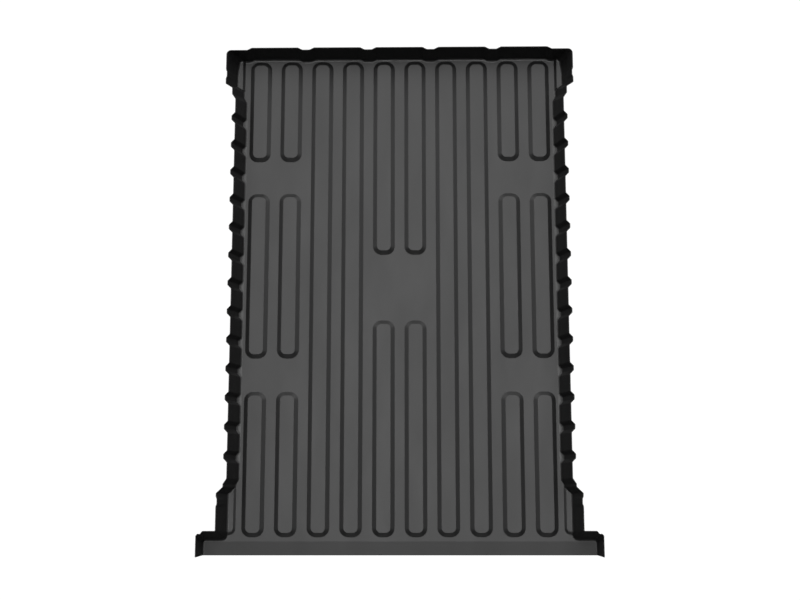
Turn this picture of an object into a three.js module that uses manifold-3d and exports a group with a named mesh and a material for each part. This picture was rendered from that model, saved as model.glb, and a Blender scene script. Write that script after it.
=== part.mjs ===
import * as THREE from 'three';
import { mergeVertices } from 'three/addons/utils/BufferGeometryUtils.js';
import Module from 'manifold-3d';

// Truck bed liner: one tray moulded from a flexible rubber-like sheet, built region by region.
// Millimetres, +Z up, +Y towards the front wall. The origin is under the middle of the tray.

// The sheet.
const SHEET = 5; // thickness of the floor, and of the walls at their foot
const RIM = 3; // thickness of the walls at the rim, where the sheet was stretched most
const COVE = 6; // radius between floor and walls
const WALL_HEIGHT = 92.5; // floor's upper surface to rim
const GAP = 0.3; // clearance between neighbouring regions

// The raised ribs of the floor: hollow pans of the same sheet.
const RIB_PITCH = 124;
const RIB_HEIGHT = 11;
const RIB_TOP_WIDTH = 53;
const RIB_SLOPE = 17.5; // width of the sloping side, seen from above
const RIB_TOP_RADIUS = 18; // corner radius of the flat top
const RIB_FRONT_END = 968.8; // foot of the ribs at the front wall
const RIB_TAIL_END = -924; // foot of the ribs at the tail

// Plan sizes. The foot line is where the flat floor ends and the cove begins.
const SIDE_FOOT = 610.5;
const SIDE_RIM = 646; // inner face at the rim
const CORNER_FOOT = 647; // the wider stretch beside the front wall
const CORNER_START = 641; // its foot line where it leaves the front wall's corner
const CORNER_RIM = 686;
const QUARTER_FOOT = 648.5; // the wider stretch ahead of the ears
const QUARTER_RIM = 684;
const EAR_FOOT = 742;
const EAR_RIM = 756;
const FRONT_FOOT = 963;
const FRONT_COVE = 8; // the cove is tighter along the front wall
const FRONT_RIM = 983.5;
const FRONT_WALL_END = 615; // half length of the front wall between its corners
const JOG_FOOT = -938.5;
const JOG_RIM = -903;
const TAIL_EDGE = -990.3;
const EAR_FLARE = 5.2; // how far the rim of an ear reaches past the tail edge

// Outward bumps that stiffen the side walls.
const BUMP_PITCH = 110.7;
const BUMP_COUNT = 13;
const FIRST_BUMP = 705.4; // centre of the foremost bump
const BUMP_FLAT = 17;
const BUMP_FLANK = 14;
const BUMP_DEPTH = { foot: 10.5, rim: 13.5 };

// Outward panels of the front wall.
const PANEL_PITCH = 248;
const PANEL_COUNT = 5;
const PANEL_FLAT = 184;
const PANEL_FLANK = 17.5;
const PANEL_DEPTH = { foot: 7.5, rim: 9 };

// Lengthwise places where the side walls change.
const SIDE_WALL = { front: 760, tail: -680 };
const CORNER_STEP = { wide: 846, held: 829, holdEnd: 803, narrow: 783 }; // at the rim
const CORNER_SLANT = 14; // how far towards the front the foot of that step lies
const CORNER_GROOVE = 887;
const QUARTER_STEP = { flankStart: -706, held: -726, wideStart: -737, wide: -760 };
const QUARTER_GROOVE = -791;
const GROOVE = { flat: 18, flank: 10, depth: 3.7 };
const CORNER_RADIUS = { foot: 8, rim: 16 };
const JOG_RADIUS = { foot: 28, rim: 5 };
const EAR_RADIUS = 6;
const EAR_CORNER = [[735, 0], [741.5, -9], [749.5, -8], [EAR_RIM, -14]]; // rim points: X, and Y off JOG_RIM
const JOG_WALL_END = 715;

// Ledges beside the outermost ribs, running into the corner walls.
const LEDGE_FOOT = 622;
const LEDGE_SLOPE = 10;
const LEDGE_TOP_RADIUS = 16;
const FRONT_LEDGE = { front: 990, tail: 770, height: 11 };
const REAR_LEDGE = { front: -690, tail: -915, height: 7 };
const FRONT_SHELF = { front: 975, tail: 787 };
const REAR_SHELF = { front: -710, tail: JOG_FOOT };

const APRON_EDGE = 2.5; // thickness of the tail apron at its edge
const ARC_STEPS = 4;
const RUBBER = { color: 0x232324, roughness: 0.72, metalness: 0 };

const wasm = await Module();
wasm.setup();

function toSolid(geometry) {
  const bare = geometry.clone();
  bare.deleteAttribute('normal');
  bare.deleteAttribute('uv');
  const merged = mergeVertices(bare, 1e-4);
  return new wasm.Manifold(new wasm.Mesh({
    numProp: 3,
    vertProperties: Float32Array.from(merged.attributes.position.array),
    triVerts: Uint32Array.from(merged.index.array),
  }));
}

function toGeometry(solid) {
  const result = solid.getMesh();
  const geometry = new THREE.BufferGeometry();
  geometry.setAttribute('position', new THREE.BufferAttribute(result.vertProperties, 3));
  geometry.setIndex(new THREE.BufferAttribute(result.triVerts, 1));
  return geometry;
}

function moulding(name, geometry) {
  const mesh = new THREE.Mesh(geometry, new THREE.MeshStandardMaterial(RUBBER));
  mesh.name = name;
  return mesh;
}

// ---- Raised ribs --------------------------------------------------------------------------------

function roundedRectangle(halfWidth, halfLength, radius, Kind = THREE.Shape) {
  const outline = new Kind();
  const x = halfWidth - radius;
  const y = halfLength - radius;
  outline.absarc(x, y, radius, 0, Math.PI / 2, false);
  outline.absarc(-x, y, radius, Math.PI / 2, Math.PI, false);
  outline.absarc(-x, -y, radius, Math.PI, Math.PI * 1.5, false);
  outline.absarc(x, -y, radius, Math.PI * 1.5, Math.PI * 2, false);
  outline.closePath();
  return outline;
}

// A rounded block whose outline shrinks by each level's inset, from the lowest level up.
function taperedBlock({ halfWidth, halfLength, radius }, levels) {
  const geometry = new THREE.ExtrudeGeometry(roundedRectangle(halfWidth, halfLength, radius), {
    steps: levels.length - 1,
    depth: levels.length - 1,
    bevelEnabled: false,
    curveSegments: ARC_STEPS / 2,
  });
  const points = geometry.attributes.position;
  for (let i = 0; i < points.count; i += 1) {
    const { z, inset } = levels[Math.round(points.getZ(i))];
    const point = new THREE.Vector2(points.getX(i), points.getY(i));
    const core = new THREE.Vector2(
      THREE.MathUtils.clamp(point.x, radius - halfWidth, halfWidth - radius),
      THREE.MathUtils.clamp(point.y, radius - halfLength, halfLength - radius),
    );
    point.addScaledVector(point.clone().sub(core).normalize(), -inset);
    points.setXYZ(i, point.x, point.y, z);
  }
  return geometry;
}

// The outside and the hollow of a pan, raised by height with sides as wide as slope.
function panBlock(outline, height, slope) {
  return toSolid(taperedBlock(outline, [
    { z: 0, inset: 0 },
    { z: SHEET, inset: 0 },
    { z: SHEET + height, inset: slope },
  ]));
}

function panHollow(outline, height, slope) {
  const start = SHEET * Math.tan(Math.atan2(height, slope) / 2);
  return toSolid(taperedBlock(outline, [
    { z: -1, inset: start },
    { z: 0, inset: start },
    { z: height, inset: start + slope },
  ]));
}

function ribFoot(front, tail) {
  return {
    halfWidth: RIB_TOP_WIDTH / 2 + RIB_SLOPE,
    halfLength: (front - tail) / 2,
    radius: RIB_TOP_RADIUS + RIB_SLOPE,
  };
}

// Columns count outwards from the middle of the tray, and are the same on both sides.
const RIB_COLUMNS = [
  [{ part: '_front', front: RIB_FRONT_END, tail: 168 }, { part: '_tail', front: -91, tail: RIB_TAIL_END }],
  [{ part: '', front: RIB_FRONT_END, tail: RIB_TAIL_END }],
  [{ part: '', front: RIB_FRONT_END, tail: RIB_TAIL_END }],
  [
    { part: '_front', front: RIB_FRONT_END, tail: 547.5 },
    { part: '_middle', front: 419, tail: -242.5 },
    { part: '_tail', front: -369.5, tail: RIB_TAIL_END },
  ],
  [
    { part: '_front', front: RIB_FRONT_END, tail: 547.5 },
    { part: '_middle', front: 419, tail: -242.5 },
    { part: '_tail', front: -369.5, tail: RIB_TAIL_END },
  ],
];

function listRibs() {
  const ribs = [];
  for (const [sideName, side] of [['left', -1], ['right', 1]]) {
    RIB_COLUMNS.forEach((column, index) => {
      for (const { part, front, tail } of column) {
        ribs.push({
          name: `rib_${sideName}_${index + 1}${part}`,
          x: side * (index + 0.5) * RIB_PITCH,
          y: (front + tail) / 2,
          foot: ribFoot(front, tail),
        });
      }
    });
  }
  return ribs;
}

function ribMesh({ name, x, y, foot }) {
  const pan = panBlock(foot, RIB_HEIGHT, RIB_SLOPE).subtract(panHollow(foot, RIB_HEIGHT, RIB_SLOPE));
  const mesh = moulding(name, toGeometry(pan));
  mesh.position.set(x, y, 0);
  return mesh;
}

// ---- Floor --------------------------------------------------------------------------------------

function floorPanel(ribs) {
  const halfWidth = SIDE_FOOT - GAP / 2;
  const alongFront = frontWall().map(({ foot }) => new THREE.Vector2(
    THREE.MathUtils.clamp(foot.x, -halfWidth, halfWidth),
    foot.y - GAP,
  ));
  const outline = new THREE.Shape([
    ...alongFront.reverse(),
    new THREE.Vector2(-halfWidth, JOG_FOOT),
    new THREE.Vector2(halfWidth, JOG_FOOT),
  ]);
  for (const { x, y, foot } of ribs) {
    const cutOut = roundedRectangle(
      foot.halfWidth + GAP,
      foot.halfLength + GAP,
      foot.radius + GAP,
      THREE.Path,
    );
    const points = cutOut.getPoints(ARC_STEPS / 2).map((p) => new THREE.Vector2(p.x + x, p.y + y));
    outline.holes.push(new THREE.Path(points));
  }
  return new THREE.ExtrudeGeometry(outline, { depth: SHEET, bevelEnabled: false });
}

// ---- Walls --------------------------------------------------------------------------------------

// The upright section of a wall: along it, 0 is the wall's base line and -COVE its foot line.
function wallSection() {
  const section = new THREE.Shape();
  section.absarc(-COVE, COVE, COVE, -Math.PI / 2, 0, false);
  section.lineTo(0, WALL_HEIGHT);
  section.lineTo(RIM, WALL_HEIGHT);
  section.absarc(-COVE, COVE, COVE + SHEET, 0, -Math.PI / 2, true);
  section.closePath();
  return section;
}

// A station is one place along a wall: its foot, base and rim points and its outward direction.
function station(foot, base, rim, outward) {
  return {
    foot: new THREE.Vector2(...foot),
    base: new THREE.Vector2(...base),
    rim: new THREE.Vector2(...rim),
    outward: new THREE.Vector2(...outward).normalize(),
  };
}

function placeOnWall({ foot, base, rim, outward }, along, height) {
  const spread = THREE.MathUtils.clamp((along + COVE) / COVE, 0, 1);
  const lean = Math.max(height, 0) / WALL_HEIGHT;
  return foot.clone()
    .lerp(base, spread)
    .addScaledVector(rim.clone().sub(base), lean)
    .addScaledVector(outward, Math.max(along, 0));
}

function sweptWall(stations) {
  const geometry = new THREE.ExtrudeGeometry(wallSection(), {
    steps: stations.length - 1,
    depth: stations.length - 1,
    bevelEnabled: false,
    curveSegments: ARC_STEPS / 2,
  });
  const points = geometry.attributes.position;
  for (let i = 0; i < points.count; i += 1) {
    const height = points.getY(i);
    const place = placeOnWall(stations[Math.round(points.getZ(i))], points.getX(i), height);
    points.setXYZ(i, place.x, place.y, SHEET + height);
  }
  return geometry;
}

// The same wall on the left: mirrored, and walked the other way so that its faces point out.
function mirrored(stations) {
  const flip = ({ x, y }) => [-x, y];
  return stations
    .map((s) => station(flip(s.foot), flip(s.base), flip(s.rim), flip(s.outward)))
    .reverse();
}

function arcAngles(steps) {
  return Array.from({ length: steps + 1 }, (_, i) => (Math.PI / 2) * (i / steps));
}

// Front wall: wide flat panels pushed outwards, with narrow dips between them.
function frontStation(x, push) {
  return station(
    [x, FRONT_FOOT + push * PANEL_DEPTH.foot],
    [x, FRONT_FOOT + FRONT_COVE + push * PANEL_DEPTH.foot],
    [x, FRONT_RIM + push * PANEL_DEPTH.rim],
    [0, 1],
  );
}

function frontWall() {
  const stations = [frontStation(-FRONT_WALL_END, 0)];
  for (let i = 0; i < PANEL_COUNT; i += 1) {
    const middle = (i - (PANEL_COUNT - 1) / 2) * PANEL_PITCH;
    stations.push(frontStation(middle - PANEL_FLAT / 2 - PANEL_FLANK, 0));
    stations.push(frontStation(middle - PANEL_FLAT / 2, 1));
    stations.push(frontStation(middle + PANEL_FLAT / 2, 1));
    stations.push(frontStation(middle + PANEL_FLAT / 2 + PANEL_FLANK, 0));
  }
  stations.push(frontStation(FRONT_WALL_END, 0));
  return stations;
}

// Side walls: straight, with narrow outward bumps at an even pitch.
function sideStation(y, push = 0) {
  return station(
    [SIDE_FOOT, y],
    [SIDE_FOOT + COVE + push * BUMP_DEPTH.foot, y],
    [SIDE_RIM + push * BUMP_DEPTH.rim, y],
    [1, 0],
  );
}

function sideWall() {
  const stations = [sideStation(SIDE_WALL.front)];
  for (let i = 0; i < BUMP_COUNT; i += 1) {
    const middle = FIRST_BUMP - i * BUMP_PITCH;
    stations.push(sideStation(middle + BUMP_FLAT / 2 + BUMP_FLANK));
    stations.push(sideStation(middle + BUMP_FLAT / 2, 1));
    stations.push(sideStation(middle - BUMP_FLAT / 2, 1));
    stations.push(sideStation(middle - BUMP_FLAT / 2 - BUMP_FLANK));
  }
  stations.push(sideStation(SIDE_WALL.tail));
  return stations;
}

function wideStation(y, footX, rimX, dent = 0) {
  return station([footX, y], [footX + COVE, y], [rimX - dent, y], [1, 0]);
}

// The same place with its foot moved along the wall, where a step runs slantwise up it.
function slanted(place, slant) {
  const shift = new THREE.Vector2(0, slant);
  return { ...place, foot: place.foot.clone().add(shift), base: place.base.clone().add(shift) };
}

function groove(middle, footX, rimX) {
  const half = GROOVE.flat / 2;
  return [
    wideStation(middle + half + GROOVE.flank, footX, rimX),
    wideStation(middle + half, footX, rimX, GROOVE.depth),
    wideStation(middle - half, footX, rimX, GROOVE.depth),
    wideStation(middle - half - GROOVE.flank, footX, rimX),
  ];
}

// A bump's depth, carried on at the edge of a wider stretch.
function heldStation(y) {
  return wideStation(y, SIDE_FOOT + BUMP_DEPTH.foot, SIDE_RIM + BUMP_DEPTH.rim);
}

// Front corner: round the corner from the front wall, then step in to the side wall.
function frontCorner() {
  const round = arcAngles(ARC_STEPS).map((angle) => {
    const outward = new THREE.Vector2(Math.sin(angle), Math.cos(angle));
    const centre = new THREE.Vector2(CORNER_START, FRONT_FOOT).subScalar(CORNER_RADIUS.foot);
    const rimCentre = new THREE.Vector2(CORNER_RIM, FRONT_RIM).subScalar(CORNER_RADIUS.rim);
    const cove = THREE.MathUtils.lerp(FRONT_COVE, COVE, Math.sin(angle));
    return station(
      centre.clone().addScaledVector(outward, CORNER_RADIUS.foot),
      centre.clone().addScaledVector(outward, CORNER_RADIUS.foot + cove),
      rimCentre.clone().addScaledVector(outward, CORNER_RADIUS.rim),
      outward,
    );
  });
  return [
    frontStation(FRONT_WALL_END + GAP, 0),
    ...round,
    ...groove(CORNER_GROOVE, CORNER_FOOT, CORNER_RIM),
    slanted(wideStation(CORNER_STEP.wide, CORNER_FOOT, CORNER_RIM), CORNER_SLANT),
    slanted(heldStation(CORNER_STEP.held), CORNER_SLANT),
    slanted(heldStation(CORNER_STEP.holdEnd), CORNER_SLANT),
    slanted(sideStation(CORNER_STEP.narrow), CORNER_SLANT),
    sideStation(SIDE_WALL.front + GAP),
  ];
}

const jogCentre = new THREE.Vector2(QUARTER_FOOT + JOG_RADIUS.foot, JOG_FOOT + JOG_RADIUS.foot);

// Rear quarter: the side wall steps out to the wider stretch that ends at the jog.
function rearQuarter() {
  return [
    sideStation(SIDE_WALL.tail - GAP),
    sideStation(QUARTER_STEP.flankStart),
    heldStation(QUARTER_STEP.held),
    heldStation(QUARTER_STEP.wideStart),
    wideStation(QUARTER_STEP.wide, QUARTER_FOOT, QUARTER_RIM),
    ...groove(QUARTER_GROOVE, QUARTER_FOOT, QUARTER_RIM),
    station(
      [QUARTER_FOOT, jogCentre.y + GAP],
      [QUARTER_FOOT + COVE, jogCentre.y + GAP],
      [QUARTER_RIM, JOG_RIM + JOG_RADIUS.rim + GAP],
      [1, 0],
    ),
  ];
}

// Jog wall: turns the outward corner and runs across towards the ear, facing the tail.
function jogWall() {
  const rimCentre = new THREE.Vector2(QUARTER_RIM, JOG_RIM).addScalar(JOG_RADIUS.rim);
  const turn = arcAngles(ARC_STEPS).map((angle) => {
    const outward = new THREE.Vector2(Math.cos(angle), Math.sin(angle));
    return station(
      jogCentre.clone().addScaledVector(outward, -JOG_RADIUS.foot),
      jogCentre.clone().addScaledVector(outward, COVE - JOG_RADIUS.foot),
      rimCentre.clone().addScaledVector(outward, -JOG_RADIUS.rim),
      outward,
    );
  });
  return [...turn, jogStation(JOG_WALL_END)];
}

function jogStation(x) {
  return station([x, JOG_FOOT], [x, JOG_FOOT + COVE], [x, JOG_RIM], [0, 1]);
}

// Ear: turns the inward corner from the jog wall and runs out to the tail edge.
function earWall() {
  const centre = new THREE.Vector2(EAR_FOOT, JOG_FOOT).subScalar(EAR_RADIUS);
  const turn = arcAngles(EAR_CORNER.length - 1).map((angle, i) => {
    const outward = new THREE.Vector2(Math.sin(angle), Math.cos(angle));
    const [rimX, behindJog] = EAR_CORNER[i];
    return station(
      centre.clone().addScaledVector(outward, EAR_RADIUS),
      centre.clone().addScaledVector(outward, EAR_RADIUS + COVE),
      [rimX, JOG_RIM + behindJog],
      outward,
    );
  });
  return [
    jogStation(JOG_WALL_END + GAP),
    ...turn,
    station(
      [EAR_FOOT, TAIL_EDGE],
      [EAR_FOOT + COVE, TAIL_EDGE],
      [EAR_RIM, TAIL_EDGE - EAR_FLARE],
      [1, 0],
    ),
  ];
}

// ---- Shelves: the floor and ledge inside the wider stretches ------------------------------------

// Cuts a right-hand solid back to the inner face of a wall, and keeps the part inside the tray.
function trimmedTo(stations, solid) {
  const pulledIn = stations.map((s) => ({
    ...s,
    foot: s.foot.clone().addScaledVector(s.outward, -GAP),
    base: s.base.clone().addScaledVector(s.outward, -GAP),
    rim: s.rim.clone().addScaledVector(s.outward, -GAP),
  }));
  const reach = (piece) => piece.boundingBox().max[0];
  const pieces = solid.subtract(toSolid(sweptWall(pulledIn))).decompose();
  return pieces.sort((a, b) => reach(a) - reach(b))[0];
}

// The right-hand shelf: a plate with its ledge.
function shelf(walls, ledge, { front, tail }) {
  const near = SIDE_FOOT + GAP / 2;
  const width = EAR_RIM - near;
  const plate = new THREE.BoxGeometry(width, front - tail, SHEET);
  plate.translate(near + width / 2, (front + tail) / 2, SHEET / 2);
  const foot = {
    halfWidth: width / 2,
    halfLength: (ledge.front - ledge.tail) / 2,
    radius: LEDGE_TOP_RADIUS + LEDGE_SLOPE,
  };
  const place = [LEDGE_FOOT + foot.halfWidth, (ledge.front + ledge.tail) / 2, 0];
  const raised = panBlock(foot, ledge.height, LEDGE_SLOPE).translate(place);
  const hollow = panHollow(foot, ledge.height, LEDGE_SLOPE).translate(place);
  return trimmedTo(walls, toSolid(plate).add(raised).subtract(hollow));
}

// ---- Tail apron ---------------------------------------------------------------------------------

// Half of the apron is trimmed to the ear's rounded foot, and then joined to its mirror image.
function tailApron() {
  const section = new THREE.Shape([
    new THREE.Vector2(JOG_FOOT - GAP, 0),
    new THREE.Vector2(JOG_FOOT - GAP, SHEET),
    new THREE.Vector2(TAIL_EDGE, APRON_EDGE),
    new THREE.Vector2(TAIL_EDGE, 0),
  ]);
  const geometry = new THREE.ExtrudeGeometry(section, { depth: EAR_FOOT, bevelEnabled: false });
  geometry.rotateX(Math.PI / 2);
  geometry.rotateZ(Math.PI / 2);
  const rightHalf = trimmedTo(earWall(), toSolid(geometry));
  return rightHalf.add(rightHalf.mirror([1, 0, 0]));
}

// ---- Assembly -----------------------------------------------------------------------------------

const liner = new THREE.Group();
const ribs = listRibs();
liner.add(moulding('floor_panel', floorPanel(ribs)));
for (const rib of ribs) {
  liner.add(ribMesh(rib));
}
liner.add(moulding('front_wall', sweptWall(frontWall())));
const pairs = {
  front_corner: frontCorner(),
  side_wall: sideWall(),
  rear_quarter: rearQuarter(),
  jog_wall: jogWall(),
  ear: earWall(),
};
for (const [name, stations] of Object.entries(pairs)) {
  liner.add(moulding(`right_${name}`, sweptWall(stations)));
  liner.add(moulding(`left_${name}`, sweptWall(mirrored(stations))));
}
const shelves = {
  front_shelf: shelf([...frontWall(), ...frontCorner()], FRONT_LEDGE, FRONT_SHELF),
  rear_shelf: shelf([...rearQuarter(), ...jogWall()], REAR_LEDGE, REAR_SHELF),
};
for (const [name, solid] of Object.entries(shelves)) {
  liner.add(moulding(`right_${name}`, toGeometry(solid)));
  liner.add(moulding(`left_${name}`, toGeometry(solid.mirror([1, 0, 0]))));
}
liner.add(moulding('tail_apron', toGeometry(tailApron())));

export default liner;
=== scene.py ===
import math

import bmesh
import bpy
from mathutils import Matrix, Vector


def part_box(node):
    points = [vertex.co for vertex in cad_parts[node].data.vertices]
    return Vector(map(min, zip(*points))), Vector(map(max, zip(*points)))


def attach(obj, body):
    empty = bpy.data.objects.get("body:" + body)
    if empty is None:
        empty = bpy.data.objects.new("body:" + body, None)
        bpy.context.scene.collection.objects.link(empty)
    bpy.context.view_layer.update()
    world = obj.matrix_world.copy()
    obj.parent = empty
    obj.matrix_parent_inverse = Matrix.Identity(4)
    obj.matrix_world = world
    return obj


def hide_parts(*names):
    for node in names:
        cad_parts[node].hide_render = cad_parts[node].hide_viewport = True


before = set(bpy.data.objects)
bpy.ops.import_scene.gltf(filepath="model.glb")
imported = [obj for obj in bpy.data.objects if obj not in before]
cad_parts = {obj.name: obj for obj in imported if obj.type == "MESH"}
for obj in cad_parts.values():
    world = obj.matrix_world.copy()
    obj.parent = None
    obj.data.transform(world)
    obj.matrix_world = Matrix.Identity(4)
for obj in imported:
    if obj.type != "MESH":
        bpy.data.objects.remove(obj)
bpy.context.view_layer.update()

# ---- Rubber skin ---------------------------------------------------------------------------------
# The whole tray is moulded from one black rubber-like sheet with a fine matte grain.
# The grain and the faint handling marks are shared by every region, so they come first.

GRAIN_SIZE = 0.0011
GRAIN_DEPTH = 0.00012
GRAIN_STRENGTH = 0.35
GRAIN_SMOOTHNESS = 0.6
RIPPLE_SCALE = 16.0
RIPPLE_DETAIL = 2.0
RIPPLE_SHARE = 1.2
MOTTLE_SCALE = 210.0
MOTTLE_DETAIL = 3.0
MARKS_STRETCH = (1.0, 0.35, 1.0)
MARKS_SCALE = 7.0
MARKS_DETAIL = 5.0
MARKS_ROUGHNESS = 0.62
TINT_SPAN = (0.12, 0.40)
POLISH_SPAN = (0.3, 0.7)
POLISH_CHANGE = 0.03
SHARP_ANGLE = math.radians(50)
WELD = 1e-6


def group_socket(tree, name, kind, value=None, output=False):
    socket = tree.interface.new_socket(name, in_out="OUTPUT" if output else "INPUT", socket_type=kind)
    if value is not None:
        socket.default_value = value


def math_node(tree, operation, *values):
    node = tree.nodes.new("ShaderNodeMath")
    node.operation = operation
    for socket, value in zip(node.inputs, values):
        if isinstance(value, bpy.types.NodeSocket):
            tree.links.new(value, socket)
        else:
            socket.default_value = value
    return node.outputs[0]


def place_node(tree, kind, links, **settings):
    """A node with its settings, and with each named input linked or set."""
    node = tree.nodes.new(kind)
    for name, value in settings.items():
        setattr(node, name, value)
    for name, value in links.items():
        if isinstance(value, bpy.types.NodeSocket):
            tree.links.new(value, node.inputs[name])
        else:
            node.inputs[name].default_value = value
    return node


def moulded_grain_group():
    tree = bpy.data.node_groups.new("moulded_grain", "ShaderNodeTree")
    group_socket(tree, "Vector", "NodeSocketVector")
    group_socket(tree, "Grain Size", "NodeSocketFloat", GRAIN_SIZE)
    group_socket(tree, "Height", "NodeSocketFloat", output=True)
    group_socket(tree, "Mottle", "NodeSocketFloat", output=True)
    entry = tree.nodes.new("NodeGroupInput").outputs
    per_metre = math_node(tree, "DIVIDE", 1.0, entry["Grain Size"])
    pebbles = place_node(tree, "ShaderNodeTexVoronoi",
                         {"Vector": entry["Vector"], "Scale": per_metre, "Smoothness": GRAIN_SMOOTHNESS},
                         feature="SMOOTH_F1")
    ripple = place_node(tree, "ShaderNodeTexNoise",
                        {"Vector": entry["Vector"], "Scale": RIPPLE_SCALE, "Detail": RIPPLE_DETAIL})
    ripple_share = math_node(tree, "MULTIPLY", ripple.outputs["Fac"], RIPPLE_SHARE)
    height = math_node(tree, "SUBTRACT", ripple_share, pebbles.outputs["Distance"])
    mottle = place_node(tree, "ShaderNodeTexNoise",
                        {"Vector": entry["Vector"], "Scale": MOTTLE_SCALE, "Detail": MOTTLE_DETAIL})
    place_node(tree, "NodeGroupOutput", {"Height": height, "Mottle": mottle.outputs["Fac"]})
    return tree


def handling_marks_group():
    tree = bpy.data.node_groups.new("handling_marks", "ShaderNodeTree")
    group_socket(tree, "Vector", "NodeSocketVector")
    group_socket(tree, "Marks", "NodeSocketFloat", output=True)
    entry = tree.nodes.new("NodeGroupInput").outputs
    drawn_out = place_node(tree, "ShaderNodeMapping", {"Vector": entry["Vector"], "Scale": MARKS_STRETCH})
    marks = place_node(tree, "ShaderNodeTexNoise",
                       {"Vector": drawn_out.outputs["Vector"], "Scale": MARKS_SCALE,
                        "Detail": MARKS_DETAIL, "Roughness": MARKS_ROUGHNESS})
    place_node(tree, "NodeGroupOutput", {"Marks": marks.outputs["Fac"]})
    return tree


moulded_grain = moulded_grain_group()
handling_marks = handling_marks_group()


def rubber_material(name, dark, light, roughness):
    material = bpy.data.materials.new(name)
    material.use_nodes = True
    tree = material.node_tree
    skin = tree.nodes["Principled BSDF"].inputs
    place = tree.nodes.new("ShaderNodeTexCoord").outputs["Object"]
    grain = place_node(tree, "ShaderNodeGroup", {"Vector": place, "Grain Size": GRAIN_SIZE},
                       node_tree=moulded_grain).outputs
    marks = place_node(tree, "ShaderNodeGroup", {"Vector": place},
                       node_tree=handling_marks).outputs["Marks"]
    blend = math_node(tree, "MULTIPLY", grain["Mottle"], marks)
    tint = place_node(tree, "ShaderNodeMapRange",
                      {"Value": blend, "From Min": TINT_SPAN[0], "From Max": TINT_SPAN[1]})
    colour = place_node(tree, "ShaderNodeMix",
                        {"Factor": tint.outputs["Result"], "A": (*dark, 1.0), "B": (*light, 1.0)},
                        data_type="RGBA")
    polish = place_node(tree, "ShaderNodeMapRange",
                        {"Value": marks, "From Min": POLISH_SPAN[0], "From Max": POLISH_SPAN[1],
                         "To Min": roughness - POLISH_CHANGE, "To Max": roughness + POLISH_CHANGE})
    relief = place_node(tree, "ShaderNodeBump",
                        {"Strength": GRAIN_STRENGTH, "Distance": GRAIN_DEPTH, "Height": grain["Height"]})
    tree.links.new(colour.outputs["Result"], skin["Base Color"])
    tree.links.new(polish.outputs["Result"], skin["Roughness"])
    tree.links.new(relief.outputs["Normal"], skin["Normal"])
    return material


def facing_out(mesh):
    """Merges doubles and turns every face of a closed mesh outwards."""
    work = bmesh.new()
    work.from_mesh(mesh)
    bmesh.ops.remove_doubles(work, verts=work.verts, dist=WELD)
    bmesh.ops.recalc_face_normals(work, faces=work.faces)
    for face in work.faces:
        face.material_index = 0
    work.to_mesh(mesh)
    work.free()
    material = mesh.materials[-1]
    mesh.materials.clear()
    mesh.materials.append(material)
    return mesh


def plain_mesh(source):
    """The evaluated source as a mesh of its own; the source object goes."""
    depsgraph = bpy.context.evaluated_depsgraph_get()
    mesh = bpy.data.meshes.new_from_object(source.evaluated_get(depsgraph))
    bpy.data.objects.remove(source)
    return facing_out(mesh)


def linked_object(name, mesh):
    made = bpy.data.objects.new(name, mesh)
    bpy.context.scene.collection.objects.link(made)
    return made


def moulded_region(name, mesh, *nodes):
    """A finished region of the tray, standing for its CAD nodes."""
    mesh.shade_smooth()
    mesh.set_sharp_from_angle(angle=SHARP_ANGLE)
    mesh.name = name
    region = linked_object(name, mesh)
    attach(region, "root")
    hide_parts(*nodes)


# ---- Raised ribs ---------------------------------------------------------------------------------
# Long hollow pans, moulded up from the floor sheet to stiffen it and to let water run off between.
# One rule makes them all: a rounded outline, a sloping side and a flat top, as long as each CAD rib.

RIB_HALF_WIDTH = 0.044
RIB_CORNER_RADIUS = 0.0355
RIB_TEMPLATE_LENGTH = 0.4
RIB_FLANGE = 0.0012
RIB_SIDE = 0.0158
RIB_FILLET = 0.09
RIB_TOP_MARGIN = 0.0022
RIB_CORNER_STEPS = 12
RIB_PROFILE_POINTS = 22
RIB_WELD = 0.00001
FLOOR_DARK = (0.0045, 0.0045, 0.0046)
FLOOR_LIGHT = (0.0065, 0.0065, 0.0066)
FLOOR_ROUGHNESS = 0.53

rib_rubber = rubber_material("rib_rubber", FLOOR_DARK, FLOOR_LIGHT, FLOOR_ROUGHNESS)
floor_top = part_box("floor_panel")[1].z
rib_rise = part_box("rib_left_2")[1].z - floor_top
rib_nodes = sorted(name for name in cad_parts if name.startswith("rib_"))


def vector_node(tree, operation, *values, scalar=False):
    node = tree.nodes.new("ShaderNodeVectorMath")
    node.operation = operation
    for socket, value in zip(node.inputs, values):
        if isinstance(value, bpy.types.NodeSocket):
            tree.links.new(value, socket)
        else:
            socket.default_value = value
    return node.outputs["Value" if scalar else "Vector"]


def soft_ramp_nodes(tree, share, fillet):
    """0 to 1 as share goes from 0 to 1, straight between rounded ends."""
    start = math_node(tree, "SMOOTH_MAX", share, 0.0, fillet)
    past = math_node(tree, "SUBTRACT", share, 1.0)
    end = math_node(tree, "SMOOTH_MAX", past, 0.0, fillet)
    return math_node(tree, "SUBTRACT", start, end)


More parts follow.
